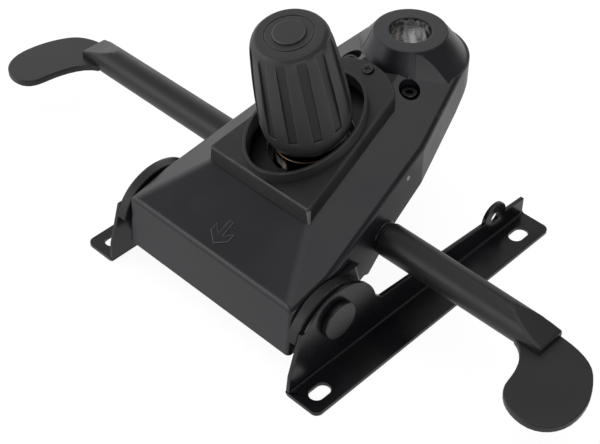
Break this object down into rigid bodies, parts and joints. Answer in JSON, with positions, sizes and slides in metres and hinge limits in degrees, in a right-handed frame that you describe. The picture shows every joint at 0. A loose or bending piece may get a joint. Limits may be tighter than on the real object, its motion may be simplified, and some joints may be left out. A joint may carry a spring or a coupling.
{
  "type": "office chair tilt mechanism",
  "caption": "Front-pivot tilt mechanism for an office chair: cast housing with a gas-lift socket, seat brackets, a spring tension knob and levers for tilt lock and height.",
  "frame": {"origin": "centre of the gas-lift socket's mouth", "axes": "+Z out of the gas-lift socket, away from the seat; -Y to the front of the chair; +X to the height lever. The part stands upside down on its seat flanges, as pictured."},
  "size_m": [0.4983, 0.2393, 0.1878],
  "materials": {
    "black_casting": "satin black paint over a die casting",
    "black_steel": "satin black paint on pressed steel",
    "black_plastic": "fine-grained black plastic",
    "dark_plastic": "black bearing plastic",
    "blackened_steel": "blackened steel",
    "zinc_steel": "zinc-plated steel",
    "bare_steel": "bare steel"
  },
  "bodies": {
    "seat_frame": {"left_bracket": "black_steel", "right_bracket": "black_steel", "left_spacer": "dark_plastic", "right_spacer": "dark_plastic", "pivot_axle": "bare_steel", "left_pivot_cap": "black_steel", "right_pivot_cap": "black_steel", "spring_rocker": "bare_steel", "lock_comb": "bare_steel", "rocker_pins": "bare_steel", "spring_seat": "zinc_steel"},
    "housing": {"housing": "black_casting", "knob_cover": "black_plastic", "cover_screw": "blackened_steel", "socket_bolts": "blackened_steel", "release_bracket": "bare_steel", "trunnion_pin": "bare_steel", "tension_bolt": "zinc_steel", "left_axle_bush": "dark_plastic", "right_axle_bush": "dark_plastic", "left_lever_bush": "dark_plastic", "right_lever_bush": "dark_plastic", "main_spring": "blackened_steel"},
    "knob_carrier": {"spring_cup": "zinc_steel", "thrust_washer": "zinc_steel"},
    "knob": {"knob_nut": "zinc_steel", "tension_knob": "black_plastic", "knob_cap": "black_plastic"},
    "lock_lever": {"left_rod": "bare_steel", "left_handle": "black_plastic", "lock_cam": "bare_steel", "lock_cam_pin": "bare_steel", "lock_sleeve": "bare_steel", "left_circlip": "blackened_steel"},
    "latch": {"lock_latch": "bare_steel"},
    "height_lever": {"right_rod": "bare_steel", "right_handle": "black_plastic", "release_cam": "bare_steel", "release_cam_pin": "bare_steel", "right_circlip": "blackened_steel", "release_spring": "bare_steel"},
    "release": {"release_pin": "bare_steel", "release_finger": "bare_steel", "release_arm": "bare_steel"}
  },
  "joints": [
    {"name": "tilt", "type": "hinge", "parent": "seat_frame", "child": "housing", "pos_m": [0, -0.158, -0.0905], "axis": [-1, 0, 0], "range_deg": [0, 10], "stiffness_Nm_per_rad": 60, "springref_deg": -28.65, "deforming": ["main_spring"]},
    {"name": "knob_travel", "type": "slide", "parent": "housing", "child": "knob_carrier", "axis": [0, -0.2062, 0.9785], "range_m": [-0.006, 0.006], "deforming": ["main_spring"]},
    {"name": "knob_turn", "type": "hinge", "parent": "knob_carrier", "child": "knob", "pos_m": [0, -0.0946, -0.03], "axis": [0, -0.2062, 0.9785], "range_deg": [-1440, 1440]},
    {"name": "lock_lever", "type": "hinge", "parent": "housing", "child": "lock_lever", "pos_m": [0, -0.0927, -0.08], "axis": [-1, 0, 0], "range_deg": [0, 30]},
    {"name": "latch_slide", "type": "slide", "parent": "housing", "child": "latch", "axis": [0, -0.9873, -0.1588], "range_m": [0, 0.00503]},
    {"name": "height_lever", "type": "hinge", "parent": "housing", "child": "height_lever", "pos_m": [0, -0.0927, -0.08], "axis": [1, 0, 0], "range_deg": [0, 15], "stiffness_Nm_per_rad": 0.4, "springref_deg": -22.92},
    {"name": "release_turn", "type": "hinge", "parent": "housing", "child": "release", "pos_m": [0, -0.05, -0.054], "axis": [1, 0, 0], "range_deg": [0, 6.1]}
  ],
  "couplings": [
    {"joint": "knob_travel", "follows": "knob_turn", "m_per_rad": 0.0002387},
    {"joint": "latch_slide", "follows": "lock_lever", "m_per_rad": 0.0095896},
    {"joint": "release_turn", "follows": "height_lever", "ratio": 0.4}
  ]
}
